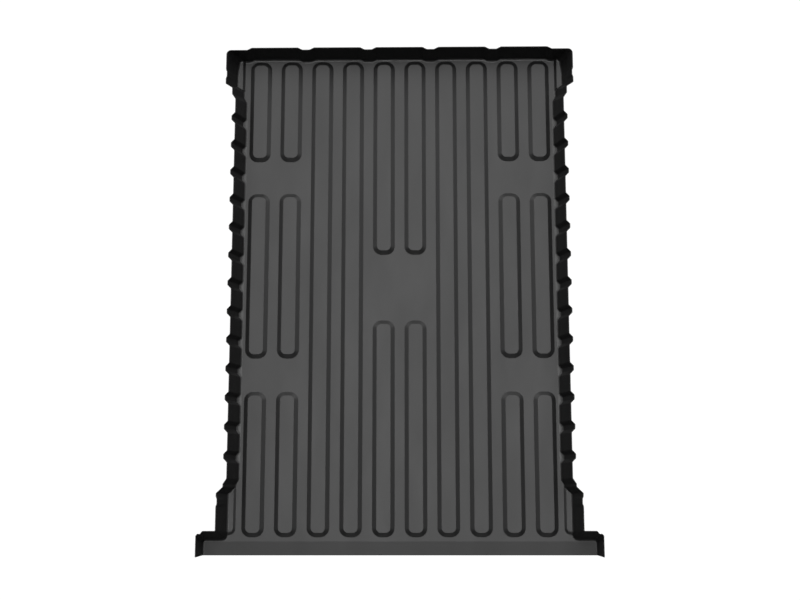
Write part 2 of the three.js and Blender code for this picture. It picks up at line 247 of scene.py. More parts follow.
def raised_ribs_tree():
    tree = bpy.data.node_groups.new("raised_ribs", "GeometryNodeTree")
    group_socket(tree, "Geometry", "NodeSocketGeometry")
    for name in ("Half Width", "Corner Radius", "Template Length", "Rise", "Flange", "Side", "Fillet",
                 "Top Margin", "Sheet"):
        group_socket(tree, name, "NodeSocketFloat", 0.01)
    group_socket(tree, "Material", "NodeSocketMaterial")
    group_socket(tree, "Geometry", "NodeSocketGeometry", output=True)
    nodes, links = tree.nodes, tree.links
    entry = nodes.new("NodeGroupInput").outputs
    width = math_node(tree, "MULTIPLY", entry["Half Width"], 2.0)
    outline = place_node(tree, "GeometryNodeCurvePrimitiveQuadrilateral",
                         {"Width": width, "Height": entry["Template Length"]}, mode="RECTANGLE")
    rounded = place_node(tree, "GeometryNodeFilletCurve",
                         {"Curve": outline.outputs["Curve"], "Radius": entry["Corner Radius"],
                          "Count": RIB_CORNER_STEPS},
                         mode="POLY")
    position = nodes.new("GeometryNodeInputPosition").outputs["Position"]
    bordered = nodes.new("GeometryNodeCaptureAttribute")
    bordered.capture_items.new("VECTOR", "Border")
    links.new(rounded.outputs["Curve"], bordered.inputs["Geometry"])
    links.new(position, bordered.inputs["Border"])
    border = bordered.outputs["Border"]

    half_length = math_node(tree, "MULTIPLY", entry["Template Length"], 0.5)
    core_x = math_node(tree, "SUBTRACT", entry["Half Width"], entry["Corner Radius"])
    core_y = math_node(tree, "SUBTRACT", half_length, entry["Corner Radius"])
    core_high = place_node(tree, "ShaderNodeCombineXYZ", {"X": core_x, "Y": core_y}).outputs[0]
    core_low = vector_node(tree, "SCALE", core_high)
    core_low.node.inputs["Scale"].default_value = -1.0
    core = vector_node(tree, "MINIMUM", vector_node(tree, "MAXIMUM", border, core_low), core_high)
    outward = vector_node(tree, "NORMALIZE", vector_node(tree, "SUBTRACT", border, core))

    line = place_node(tree, "GeometryNodeCurvePrimitiveLine", {"End": (1.0, 0.0, 0.0)}, mode="POINTS")
    profile = place_node(tree, "GeometryNodeResampleCurve",
                         {"Curve": line.outputs["Curve"], "Count": RIB_PROFILE_POINTS})
    share = nodes.new("GeometryNodeSplineParameter").outputs["Factor"]
    stepped = nodes.new("GeometryNodeCaptureAttribute")
    stepped.capture_items.new("FLOAT", "Share")
    links.new(profile.outputs["Curve"], stepped.inputs["Geometry"])
    links.new(share, stepped.inputs["Share"])
    crowded = place_node(tree, "ShaderNodeMapRange", {"Value": stepped.outputs["Share"]},
                         interpolation_type="SMOOTHSTEP").outputs["Result"]
    reach = math_node(tree, "ADD", entry["Flange"], entry["Side"])
    reach = math_node(tree, "ADD", reach, entry["Top Margin"])
    inset = math_node(tree, "MULTIPLY", crowded, reach)

    def inside_border(distance, height):
        radius = math_node(tree, "SUBTRACT", entry["Corner Radius"], distance)
        arm = vector_node(tree, "SCALE", outward)
        links.new(radius, arm.node.inputs["Scale"])
        lifted = place_node(tree, "ShaderNodeCombineXYZ", {"Z": height}).outputs[0]
        return vector_node(tree, "ADD", vector_node(tree, "ADD", core, arm), lifted)

    side_share = math_node(tree, "DIVIDE", math_node(tree, "SUBTRACT", inset, entry["Flange"]),
                           entry["Side"])
    climb = math_node(tree, "MULTIPLY", soft_ramp_nodes(tree, side_share, entry["Fillet"]), entry["Rise"])
    swept = place_node(tree, "GeometryNodeCurveToMesh",
                       {"Curve": bordered.outputs["Geometry"],
                        "Profile Curve": stepped.outputs["Geometry"]})
    sloped = place_node(tree, "GeometryNodeSetPosition",
                        {"Geometry": swept.outputs["Mesh"], "Position": inside_border(inset, climb)})
    lid_edge = place_node(tree, "GeometryNodeSetPosition",
                          {"Geometry": bordered.outputs["Geometry"],
                           "Position": inside_border(reach, entry["Rise"])})
    lid = place_node(tree, "GeometryNodeFillCurve", {"Curve": lid_edge.outputs["Geometry"]}, mode="NGONS")
    lid_height = place_node(tree, "ShaderNodeCombineXYZ", {"Z": entry["Rise"]}).outputs[0]
    lid_up = place_node(tree, "GeometryNodeSetPosition",
                        {"Geometry": lid.outputs["Mesh"], "Offset": lid_height})
    pan = nodes.new("GeometryNodeJoinGeometry")
    links.new(lid_up.outputs["Geometry"], pan.inputs["Geometry"])
    links.new(sloped.outputs["Geometry"], pan.inputs["Geometry"])
    under = place_node(tree, "GeometryNodeMergeByDistance",
                       {"Geometry": pan.outputs["Geometry"], "Distance": RIB_WELD})

    thickness = place_node(tree, "ShaderNodeCombineXYZ", {"Z": entry["Sheet"]}).outputs[0]
    upper = place_node(tree, "GeometryNodeExtrudeMesh",
                       {"Mesh": under.outputs["Geometry"], "Offset": thickness, "Individual": False},
                       mode="FACES")
    upper.inputs["Offset Scale"].default_value = 1.0
    lower = place_node(tree, "GeometryNodeFlipFaces", {"Mesh": under.outputs["Geometry"]})
    both = nodes.new("GeometryNodeJoinGeometry")
    links.new(lower.outputs["Mesh"], both.inputs["Geometry"])
    links.new(upper.outputs["Mesh"], both.inputs["Geometry"])
    closed = place_node(tree, "GeometryNodeMergeByDistance",
                        {"Geometry": both.outputs["Geometry"], "Distance": RIB_WELD})

    along = place_node(tree, "ShaderNodeSeparateXYZ", {"Vector": position}).outputs["Y"]
    which_end = math_node(tree, "SIGN", along)
    kept_end = place_node(tree, "GeometryNodeStoreNamedAttribute",
                          {"Geometry": closed.outputs["Geometry"], "Name": "rib_end", "Value": which_end},
                          data_type="FLOAT", domain="POINT")
    placed = place_node(tree, "GeometryNodeInstanceOnPoints",
                        {"Points": entry["Geometry"], "Instance": kept_end.outputs["Geometry"]})
    real = place_node(tree, "GeometryNodeRealizeInstances", {"Geometry": placed.outputs["Instances"]})
    end_sign = place_node(tree, "GeometryNodeInputNamedAttribute", {"Name": "rib_end"}, data_type="FLOAT")
    own_half = place_node(tree, "GeometryNodeInputNamedAttribute", {"Name": "half_length"},
                          data_type="FLOAT")
    growth = math_node(tree, "SUBTRACT", own_half.outputs["Attribute"], half_length)
    shift = math_node(tree, "MULTIPLY", growth, end_sign.outputs["Attribute"])
    stretched = place_node(tree, "GeometryNodeSetPosition",
                           {"Geometry": real.outputs["Geometry"],
                            "Offset": place_node(tree, "ShaderNodeCombineXYZ", {"Y": shift}).outputs[0]})
    finished = place_node(tree, "GeometryNodeSetMaterial",
                          {"Geometry": stretched.outputs["Geometry"], "Material": entry["Material"]})
    leave = nodes.new("NodeGroupOutput")
    links.new(finished.outputs["Geometry"], leave.inputs["Geometry"])
    return tree


def with_tree(source, tree, **values):
    """Gives source a Geometry Nodes modifier with its named inputs set."""
    modifier = source.modifiers.new(tree.name, "NODES")
    modifier.node_group = tree
    sockets = {item.name: item.identifier for item in tree.interface.items_tree
               if item.item_type == "SOCKET" and item.in_out == "INPUT"}
    for name, value in values.items():
        modifier[sockets[name.replace("_", " ")]] = value
    return source


rib_boxes = [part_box(name) for name in rib_nodes]
rib_points = bpy.data.meshes.new("rib_points")
rib_middles = [((low.x + high.x) / 2, (low.y + high.y) / 2, 0.0) for low, high in rib_boxes]
rib_points.from_pydata(rib_middles, [], [])
rib_lengths = rib_points.attributes.new("half_length", "FLOAT", "POINT")
rib_lengths.data.foreach_set("value", [(high.y - low.y) / 2 for low, high in rib_boxes])
rib_source = with_tree(
    linked_object("rib_source", rib_points), raised_ribs_tree(), Half_Width=RIB_HALF_WIDTH,
    Corner_Radius=RIB_CORNER_RADIUS, Template_Length=RIB_TEMPLATE_LENGTH, Rise=rib_rise,
    Flange=RIB_FLANGE, Side=RIB_SIDE, Fillet=RIB_FILLET, Top_Margin=RIB_TOP_MARGIN, Sheet=floor_top,
    Material=rib_rubber)
rib_mesh = plain_mesh(rib_source)
moulded_region("liner_raised_ribs", rib_mesh, *rib_nodes)


# ---- Front wall ----------------------------------------------------------------------------------
# The upright wall at the cab end of the tray, curved up from the floor through a tight cove.
# Five wide flat panels are pushed outwards with narrow dips between them, which stiffens it.

COVE = 0.006
RIM_THICKNESS = 0.003
RIM_ROUNDING = 0.0009
ROUNDING_DEGREES = (0, 30, 60, 90)
COVE_DEGREES = (0, 1.5, 6, 14, 24, 35, 46, 57, 68, 78, 85, 90)
WALL_ROWS = (0.3, 0.6, 0.85)
WALL_FILLET = 0.12
# The walls are the same rubber as the floor, given a darker colour here as painted shade for walls that
# face away from the light.
WALL_SHADED_DARK = (0.0035, 0.0035, 0.0036)
WALL_SHADED_LIGHT = (0.005, 0.005, 0.0051)
WALL_ROUGHNESS = 0.45
PANEL_PITCH = 0.248
PANEL_COUNT = 5
PANEL_FLAT = 0.184
PANEL_FLANK = 0.0175
PANEL_FOOT_DEPTH = 0.0075
PANEL_RIM_DEPTH = 0.009
FRONT_LEAN = 0.0205
FRONT_COVE = 0.008
FRONT_SPACING = 0.0035

wall_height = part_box("front_wall")[1].z - floor_top
front_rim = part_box("front_wall")[1].y - RIM_THICKNESS - PANEL_RIM_DEPTH
front_foot = front_rim - FRONT_LEAN
floor_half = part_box("right_side_wall")[0].x
# The walls' rubber: the floor's rubber with painted shade in its colour, plus its own roughness.
wall_painted_shade_rubber = rubber_material("wall_painted_shade_rubber", WALL_SHADED_DARK, WALL_SHADED_LIGHT, WALL_ROUGHNESS)


def wall_section():
    """The inner and the outer line of the upright section, from foot to rim, as (along, height)."""
    inner, outer = [], []
    for degrees in COVE_DEGREES:
        across, up = math.sin(math.radians(degrees)), math.cos(math.radians(degrees))
        inner.append((COVE * (across - 1), COVE * (1 - up)))
        outer.append(((COVE + floor_top) * across - COVE, COVE - (COVE + floor_top) * up))
    for share in WALL_ROWS:
        height = COVE + share * (wall_height - COVE)
        inner.append((0.0, height))
        outer.append((floor_top + share * (RIM_THICKNESS - floor_top), height))
    for degrees in ROUNDING_DEGREES:
        aside = RIM_ROUNDING * (1 - math.cos(math.radians(degrees)))
        height = wall_height - RIM_ROUNDING * (1 - math.sin(math.radians(degrees)))
        inner.append((aside, height))
        outer.append((RIM_THICKNESS - aside, height))
    return inner, outer


def wall_place(foot, base, rim, outward, lift=0.0, thin=0.0):
    """One place along a wall. lift raises its foot on to a ledge, and thin lowers its inner skin."""
    return {"foot": Vector(foot), "base": Vector(base), "rim": Vector(rim),
            "outward": Vector(outward).normalized(), "lift": lift, "thin": thin}


def wall_mesh(name, places, material, moving_foot=False):
    inner, outer = wall_section()
    section = [(*point, 1.0) for point in inner] + [(*point, 0.0) for point in reversed(outer)]
    vertices, spreads, leans = [], [], []
    for place in places:
        for along, height, on_skin in section:
            spread = min(max((along + COVE) / COVE, 0.0), 1.0)
            lean = max(height, 0.0) / wall_height
            flat = place["foot"].lerp(place["base"], spread) + (place["rim"] - place["base"]) * lean
            flat += place["outward"] * max(along, 0.0)
            change = place["lift"] - place["thin"] * on_skin
            vertices.append((flat.x, flat.y, floor_top + height + change * (1 - lean)))
            spreads.append(1.0 if moving_foot else spread)
            leans.append(lean)
    ring = len(section)
    faces = []
    for start in range(0, ring * (len(places) - 1), ring):
        for k in range(ring):
            after = (k + 1) % ring
            faces.append((start + k, start + after, start + ring + after, start + ring + k))
    for start in (0, ring * (len(places) - 1)):
        for k in range(len(inner) - 1):
            faces.append((start + k, start + k + 1, start + ring - 2 - k, start + ring - 1 - k))
    mesh = bpy.data.meshes.new(name)
    mesh.from_pydata(vertices, [], faces)
    mesh.attributes.new("spread", "FLOAT", "POINT").data.foreach_set("value", spreads)
    mesh.attributes.new("lean", "FLOAT", "POINT").data.foreach_set("value", leans)
    mesh.materials.append(material)
    return mesh


def corrugate_tree():
    """Pushes a wall outwards in evenly spaced panels or bumps with sloping flanks."""
    tree = bpy.data.node_groups.new("corrugate", "GeometryNodeTree")
    group_socket(tree, "Geometry", "NodeSocketGeometry")
    group_socket(tree, "Along", "NodeSocketVector")
    group_socket(tree, "Outward", "NodeSocketVector")
    for name in ("First Centre", "Pitch", "Count", "Flat", "Flank", "Fillet", "Foot Depth", "Rim Depth"):
        group_socket(tree, name, "NodeSocketFloat", 0.01)
    group_socket(tree, "Material", "NodeSocketMaterial")
    group_socket(tree, "Geometry", "NodeSocketGeometry", output=True)
    nodes, links = tree.nodes, tree.links
    entry = nodes.new("NodeGroupInput").outputs
    position = nodes.new("GeometryNodeInputPosition").outputs["Position"]
    travelled = vector_node(tree, "DOT_PRODUCT", position, entry["Along"], scalar=True)
    from_first = math_node(tree, "SUBTRACT", travelled, entry["First Centre"])
    nearest = math_node(tree, "ROUND", math_node(tree, "DIVIDE", from_first, entry["Pitch"]))
    last = math_node(tree, "SUBTRACT", entry["Count"], 1.0)
    nearest = math_node(tree, "MINIMUM", math_node(tree, "MAXIMUM", nearest, 0.0), last)
    centre = math_node(tree, "MULTIPLY", nearest, entry["Pitch"])
    off_centre = math_node(tree, "ABSOLUTE", math_node(tree, "SUBTRACT", from_first, centre))
    half_base = math_node(tree, "ADD", math_node(tree, "MULTIPLY", entry["Flat"], 0.5), entry["Flank"])
    share = math_node(tree, "DIVIDE", math_node(tree, "SUBTRACT", half_base, off_centre), entry["Flank"])
    bump = soft_ramp_nodes(tree, share, entry["Fillet"])
    spread = place_node(tree, "GeometryNodeInputNamedAttribute", {"Name": "spread"}, data_type="FLOAT")
    lean = place_node(tree, "GeometryNodeInputNamedAttribute", {"Name": "lean"}, data_type="FLOAT")
    at_foot = math_node(tree, "MULTIPLY", entry["Foot Depth"], spread.outputs["Attribute"])
    more = math_node(tree, "SUBTRACT", entry["Rim Depth"], entry["Foot Depth"])
    depth = math_node(tree, "ADD", at_foot, math_node(tree, "MULTIPLY", more, lean.outputs["Attribute"]))
    push = vector_node(tree, "SCALE", entry["Outward"])
    links.new(math_node(tree, "MULTIPLY", bump, depth), push.node.inputs["Scale"])
    pushed = place_node(tree, "GeometryNodeSetPosition", {"Geometry": entry["Geometry"], "Offset": push})
    real = place_node(tree, "GeometryNodeRealizeInstances", {"Geometry": pushed.outputs["Geometry"]})
    finished = place_node(tree, "GeometryNodeSetMaterial",
                          {"Geometry": real.outputs["Geometry"], "Material": entry["Material"]})
    leave = nodes.new("NodeGroupOutput")
    links.new(finished.outputs["Geometry"], leave.inputs["Geometry"])
    return tree


def evenly(start, end, step):
    """Numbers from start to end, about step apart."""
    count = max(1, round(abs(end - start) / step))
    return [start + (end - start) * i / count for i in range(count + 1)]


def shares(count):
    """Shares of a way from 0 to 1, in count equal steps."""
    return [i / count for i in range(count + 1)]


corrugate = corrugate_tree()
front_places = [wall_place((x, front_foot), (x, front_foot + FRONT_COVE), (x, front_rim), (0, 1))
                for x in evenly(-floor_half, floor_half, FRONT_SPACING)]
front_source = with_tree(
    linked_object("front_source", wall_mesh("front_wall", front_places, wall_painted_shade_rubber, moving_foot=True)),
    corrugate, Along=(1.0, 0.0, 0.0), Outward=(0.0, 1.0, 0.0),
    First_Centre=-PANEL_PITCH * (PANEL_COUNT - 1) / 2, Pitch=PANEL_PITCH, Count=float(PANEL_COUNT),
    Flat=PANEL_FLAT, Flank=PANEL_FLANK, Fillet=WALL_FILLET, Foot_Depth=PANEL_FOOT_DEPTH,
    Rim_Depth=PANEL_RIM_DEPTH, Material=wall_painted_shade_rubber)
front_mesh = plain_mesh(front_source)
front_line = sorted((v.co.x, v.co.y) for v in front_mesh.vertices
                    if abs(v.co.z - floor_top) < WELD and v.co.y < front_foot + PANEL_FOOT_DEPTH + WELD)
moulded_region("liner_front_wall", front_mesh, "front_wall")


# ---- Side walls ----------------------------------------------------------------------------------
# Long leaning walls, stretched thinner towards the rim, which rest against the sides of the bed.
# Thirteen narrow bumps at an even pitch are pushed outwards along each.

BUMP_PITCH = 0.1107
BUMP_COUNT = 13
FIRST_BUMP = 0.7054
BUMP_FLAT = 0.017
BUMP_FLANK = 0.014
BUMP_FOOT_DEPTH = 0.0105
BUMP_RIM_DEPTH = 0.0135
BUMP_FILLET = 0.05
SIDE_SPACING = 0.0024

side_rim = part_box("right_side_wall")[1].x - RIM_THICKNESS - BUMP_RIM_DEPTH
side_tail, side_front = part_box("right_side_wall")[0].y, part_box("right_side_wall")[1].y


def mirrored_mesh(mesh):
    """The same region on the left."""
    work = bmesh.new()
    work.from_mesh(mesh)
    for vertex in work.verts:
        vertex.co.x = -vertex.co.x
    bmesh.ops.reverse_faces(work, faces=work.faces)
    left = mesh.copy()
    work.to_mesh(left)
    work.free()
    return left


def region_pair(name, mesh):
    """A right-hand region and its mirror image on the left."""
    left = mirrored_mesh(mesh)
    moulded_region(f"liner_right_{name}", mesh, f"right_{name}")
    moulded_region(f"liner_left_{name}", left, f"left_{name}")


side_places = [wall_place((floor_half, y), (floor_half + COVE, y), (side_rim, y), (1, 0))
               for y in evenly(side_front, side_tail, SIDE_SPACING)]
side_source = with_tree(
    linked_object("side_source", wall_mesh("side_wall", side_places, wall_painted_shade_rubber)),
    corrugate, Along=(0.0, -1.0, 0.0), Outward=(1.0, 0.0, 0.0), First_Centre=-FIRST_BUMP,
    Pitch=BUMP_PITCH, Count=float(BUMP_COUNT), Flat=BUMP_FLAT, Flank=BUMP_FLANK, Fillet=BUMP_FILLET,
    Foot_Depth=BUMP_FOOT_DEPTH, Rim_Depth=BUMP_RIM_DEPTH, Material=wall_painted_shade_rubber)
region_pair("side_wall", plain_mesh(side_source))


# ---- Front corners and their shelves -------------------------------------------------------------
# Beside the front wall the tray is wider, where the bed's own sides step out. The wall rounds the
# corner, carries a shallow groove in its rim, and a raised ledge fills the shelf at its foot.

LEDGE_EDGE = 0.622
LEDGE_RADIUS = 0.026
LEDGE_SIDE = 0.0088
FRONT_LEDGE = (0.770, 0.990, 0.011)  # tail end, front end, rise
CORNER_FOOT_RADIUS = 0.008
CORNER_RIM_RADIUS = 0.016
CORNER_START_OUT = 0.0305
CORNER_FOOT_OUT = 0.0365
CORNER_END = 0.908
CORNER_SLANT = 0.014
SLANT_GROWS = 0.060
SLANT_FADES = 0.023
STEP_HELD = (0.783, 0.020)  # where it begins along the tray, and its run
STEP_WIDE = (0.829, 0.017)
STEP_FOOT = 0.026
STEP_RIM = 0.0265
STEP_SPACING = 0.002
TURN_STEP = math.radians(7.5)
GROOVE_PLACE = 0.887
GROOVE_DEPTH = 0.0037
GROOVE_FLAT = 0.018
GROOVE_FLANK = 0.010
SHELF_STEPS = 26
SHELF_TIP = 0.00005

corner_start = floor_half + CORNER_START_OUT
corner_foot = floor_half + CORNER_FOOT_OUT
corner_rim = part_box("right_front_corner")[1].x - RIM_THICKNESS
shelf_rubber = rubber_material("shelf_rubber", FLOOR_DARK, FLOOR_LIGHT, FLOOR_ROUGHNESS)


def smooth_max(a, b, width):
    overlap = max(width - abs(a - b), 0.0) / width
    return max(a, b) + overlap ** 3 * width / 6


def soft_ramp(share, fillet=WALL_FILLET):
    """0 to 1 as share goes from 0 to 1, straight between rounded ends."""
    return smooth_max(share, 0.0, fillet) - smooth_max(share - 1.0, 0.0, fillet)


def ledge_height(x, y, ledge):
    """Height of a ledge above the floor: a rounded block with sloping sides, like the ribs."""
    tail, front, rise = ledge
    core_x = max(x, LEDGE_EDGE + LEDGE_RADIUS)
    core_y = min(max(y, tail + LEDGE_RADIUS), front - LEDGE_RADIUS)
    inside = LEDGE_RADIUS - math.hypot(x - core_x, y - core_y)
    if inside <= 0:
        return 0.0
    return rise * soft_ramp((inside - RIB_FLANGE) / LEDGE_SIDE, RIB_FILLET)


def groove_dent(y, middle):
    return GROOVE_DEPTH * soft_ramp((GROOVE_FLAT / 2 + GROOVE_FLANK - abs(y - middle)) / GROOVE_FLANK)


def stepped_place(y, held, wide, foot_step, rim_step, dent, ledge, slant=0.0):
    """A place where the wall has come out by the held share of a bump and the wide share of a step."""
    foot = floor_half + BUMP_FOOT_DEPTH * held + foot_step * wide
    rim = side_rim + BUMP_RIM_DEPTH * held + rim_step * wide - dent
    foot_y = y + slant
    return wall_place((foot, foot_y), (foot + COVE, foot_y), (rim, y), (1, 0),
                      ledge_height(foot, foot_y, ledge))


def sheet_mesh(name, top_rows, bottom_rows, material):
    """A closed sheet between two equal grids of points."""
    rows, columns = len(top_rows), len(top_rows[0])
    vertices = [point for row in top_rows for point in row]
    vertices += [point for row in bottom_rows for point in row]
    below = rows * columns
    faces = []
    for i in range(rows - 1):
        for j in range(columns - 1):
            a = i * columns + j
            quad = (a, a + 1, a + columns + 1, a + columns)
            faces.append(quad)
            faces.append(tuple(k + below for k in reversed(quad)))
    border = list(range(columns))
    border += [i * columns + columns - 1 for i in range(1, rows)]
    border += [(rows - 1) * columns + j for j in range(columns - 2, -1, -1)]
    border += [i * columns for i in range(rows - 2, 0, -1)]
    for a, b in zip(border, border[1:] + border[:1]):
        faces.append((a, b, b + below, a + below))
    mesh = bpy.data.meshes.new(name)
    mesh.from_pydata(vertices, [], faces)
    mesh.materials.append(material)
    return facing_out(mesh)


def shelf_mesh(name, places, near_ys, ledge):
    """The floor between the straight edge of the main floor and the foot of a wall."""
    top, bottom = [], []
    for place, near_y in zip(places, near_ys):
        near = Vector((floor_half, near_y))
        spots = [near.lerp(place["foot"], share) for share in shares(SHELF_STEPS)]
        heights = [ledge_height(spot.x, spot.y, ledge) for spot in spots]
        top.append([(spot.x, spot.y, floor_top + h) for spot, h in zip(spots, heights)])
        bottom.append([(spot.x, spot.y, h) for spot, h in zip(spots, heights)])
    return sheet_mesh(name, top, bottom, shelf_rubber)


corner_places = []
foot_centre = Vector((corner_start, front_foot)) - Vector((1, 1)) * CORNER_FOOT_RADIUS
rim_centre = Vector((corner_rim, front_rim)) - Vector((1, 1)) * CORNER_RIM_RADIUS
for share in shares(8)[:-1]:
    foot_x = floor_half + (foot_centre.x - floor_half) * share
    rim_x = floor_half + (rim_centre.x - floor_half) * share
    corner_places.append(wall_place(
        (foot_x, front_foot), (foot_x, front_foot + FRONT_COVE), (rim_x, front_rim), (0, 1),
        ledge_height(foot_x, front_foot, FRONT_LEDGE)))
for angle in evenly(0, math.pi / 2, TURN_STEP):
    out = Vector((math.sin(angle), math.cos(angle)))
    cove = FRONT_COVE + (COVE - FRONT_COVE) * math.sin(angle)
    foot = foot_centre + out * CORNER_FOOT_RADIUS
    corner_places.append(wall_place(foot, foot + out * cove, rim_centre + out * CORNER_RIM_RADIUS, out,
                                    ledge_height(*foot, FRONT_LEDGE)))
front_spokes = len(corner_places)
for share in shares(12)[1:]:
    foot_x = corner_start + (corner_foot - corner_start) * share
    foot_y = foot_centre.y + (CORNER_END - foot_centre.y) * share
    rim_y = rim_centre.y + (CORNER_END - rim_centre.y) * share
    corner_places.append(wall_place(
        (foot_x, foot_y), (foot_x + COVE, foot_y), (corner_rim, rim_y), (1, 0),
        ledge_height(foot_x, foot_y, FRONT_LEDGE)))
for y in evenly(CORNER_END, side_front, STEP_SPACING)[1:]:
    held = soft_ramp((y - STEP_HELD[0]) / STEP_HELD[1])
    wide = soft_ramp((y - STEP_WIDE[0]) / STEP_WIDE[1])
    slant = CORNER_SLANT * min(1.0, (CORNER_END - y) / SLANT_GROWS, (y - side_front) / SLANT_FADES)
    corner_places.append(stepped_place(
        y, held, wide, STEP_FOOT, STEP_RIM, groove_dent(y, GROOVE_PLACE), FRONT_LEDGE, slant))
shelf_places = corner_places[:1]
shelf_places += [place for place in corner_places if place["foot"].x > floor_half + SHELF_TIP]
near_ys = [place["foot"].y for place in shelf_places]
last_spoke = near_ys[front_spokes - 1]
for i in range(front_spokes):
    near_ys[i] = front_foot + (last_spoke - front_foot) * i / (front_spokes - 1)
region_pair("front_corner", facing_out(wall_mesh("front_corner", corner_places, wall_painted_shade_rubber)))
region_pair("front_shelf", shelf_mesh("front_shelf", shelf_places, near_ys, FRONT_LEDGE))


# ---- Rear quarters and their shelves -------------------------------------------------------------
# Ahead of the tail the side wall steps out again to a wider stretch, with a groove in its rim.
# A raised ledge like the front one fills the shelf at its foot.

REAR_LEDGE = (-0.915, -0.690, 0.007)
REAR_STEP_HELD = (-0.706, 0.020)
REAR_STEP_WIDE = (-0.737, 0.023)
REAR_STEP_FOOT = 0.0275
REAR_STEP_RIM = 0.0245
REAR_GROOVE_PLACE = -0.791
QUARTER_END = -0.814
QUARTER_FOOT_OUT = 0.038
JOG_LEAN = 0.037
JOG_FOOT_RADIUS = 0.028
JOG_RIM_RADIUS = 0.005

jog_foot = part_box("floor_panel")[0].y
jog_rim = jog_foot + JOG_LEAN
quarter_foot = floor_half + QUARTER_FOOT_OUT
quarter_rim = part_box("right_rear_quarter")[1].x - RIM_THICKNESS
turn_foot = Vector((quarter_foot, jog_foot)) + Vector((1, 1)) * JOG_FOOT_RADIUS
turn_rim = Vector((quarter_rim, jog_rim)) + Vector((1, 1)) * JOG_RIM_RADIUS

quarter_places = []
for y in evenly(side_tail, QUARTER_END, STEP_SPACING):
    held = soft_ramp((REAR_STEP_HELD[0] - y) / REAR_STEP_HELD[1])
    wide = soft_ramp((REAR_STEP_WIDE[0] - y) / REAR_STEP_WIDE[1])
    quarter_places.append(stepped_place(
        y, held, wide, REAR_STEP_FOOT, REAR_STEP_RIM, groove_dent(y, REAR_GROOVE_PLACE), REAR_LEDGE))
for share in shares(25)[1:]:
    foot_y = QUARTER_END + (turn_foot.y - QUARTER_END) * share
    rim_y = QUARTER_END + (turn_rim.y - QUARTER_END) * share
    quarter_places.append(wall_place(
        (quarter_foot, foot_y), (quarter_foot + COVE, foot_y), (quarter_rim, rim_y), (1, 0),
        ledge_height(quarter_foot, foot_y, REAR_LEDGE)))
region_pair("rear_quarter", facing_out(wall_mesh("rear_quarter", quarter_places, wall_painted_shade_rubber)))


# ---- Jog walls -----------------------------------------------------------------------------------
# At the tail posts of the bed the wall turns outwards and runs across, facing the tail.
# The rear shelf follows, because it ends in the same turn.

JOG_WALL_END = 0.715
JOG_TURN_STEP = math.radians(5)

jog_places = []
for angle in evenly(0, math.pi / 2, JOG_TURN_STEP):
    out = Vector((math.cos(angle), math.sin(angle)))
    foot = turn_foot - out * JOG_FOOT_RADIUS
    jog_places.append(wall_place(foot, foot + out * COVE, turn_rim - out * JOG_RIM_RADIUS, out,
                                 ledge_height(*foot, REAR_LEDGE)))
turned_places = len(jog_places)
for share in shares(10)[1:]:
    foot_x = turn_foot.x + (JOG_WALL_END - turn_foot.x) * share
    rim_x = turn_rim.x + (JOG_WALL_END - turn_rim.x) * share
    jog_places.append(wall_place(
        (foot_x, jog_foot), (foot_x, jog_foot + COVE), (rim_x, jog_rim), (0, 1)))
region_pair("jog_wall", facing_out(wall_mesh("jog_wall", jog_places, wall_painted_shade_rubber)))

shelf_places = [place for place in quarter_places if place["foot"].x > floor_half + SHELF_TIP]
near_ys = [place["foot"].y for place in shelf_places]
turning = jog_places[1:turned_places]
shelf_places += turning
near_ys += [turn_foot.y + (jog_foot - turn_foot.y) * share for share in shares(len(turning))[1:]]
region_pair("rear_shelf", shelf_mesh("rear_shelf", shelf_places, near_ys, REAR_LEDGE))


# ---- Ears and tail apron -------------------------------------------------------------------------
# The apron carries the floor past the tail posts, thinning to a rounded edge over the tailgate gap.
# An ear closes each end of it, flaring past the edge at its rim.

APRON_EDGE = 0.0025
EDGE_ROUNDING = 0.001
EAR_RADIUS = 0.006
EAR_FOOT = 0.740
EAR_CORNER_RIM = ((0.735, -0.903), (0.7415, -0.912), (0.7495, -0.911), (0.756, -0.917))
APRON_ROUGHNESS = 0.6
APRON_SPACING = 0.02

tail_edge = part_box("tail_apron")[0].y
ear_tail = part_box("right_ear")[0].y
apron_rubber = rubber_material("apron_rubber", FLOOR_DARK, FLOOR_LIGHT, APRON_ROUGHNESS)


def apron_drop(y):
    """How far the apron's top has come down from the floor's level at y."""
    return (floor_top - APRON_EDGE) * min(max((jog_foot - y) / (jog_foot - tail_edge), 0.0), 1.0)


def curve_through(points, share):
    """A smooth curve through the points, share 0 to 1."""
    spot = share * (len(points) - 1)
    i = min(int(spot), len(points) - 2)
    t = spot - i
    a, b, c, d = (Vector(points[min(max(i + k, 0), len(points) - 1)]) for k in (-1, 0, 1, 2))
    return 0.5 * (2 * b + (c - a) * t + (2 * a - 5 * b + 4 * c - d) * t * t
                  + (3 * b - a - 3 * c + d) * t * t * t)


ear_centre = Vector((EAR_FOOT, jog_foot)) - Vector((1, 1)) * EAR_RADIUS
ear_places = []
for share in shares(5)[:-1]:
    foot_x = JOG_WALL_END + (ear_centre.x - JOG_WALL_END) * share
    rim_x = JOG_WALL_END + (EAR_CORNER_RIM[0][0] - JOG_WALL_END) * share
    ear_places.append(wall_place(
        (foot_x, jog_foot), (foot_x, jog_foot + COVE), (rim_x, jog_rim), (0, 1)))
for share in shares(15):
    angle = share * math.pi / 2
    out = Vector((math.sin(angle), math.cos(angle)))
    foot = ear_centre + out * EAR_RADIUS
    ear_places.append(wall_place(foot, foot + out * COVE, curve_through(EAR_CORNER_RIM, share), out,
                                 thin=apron_drop(foot.y)))
apron_ends = [tuple(place["foot"]) for place in ear_places[1:]]
rim_corner = Vector(EAR_CORNER_RIM[-1])
rim_tip = Vector((rim_corner.x, ear_tail))
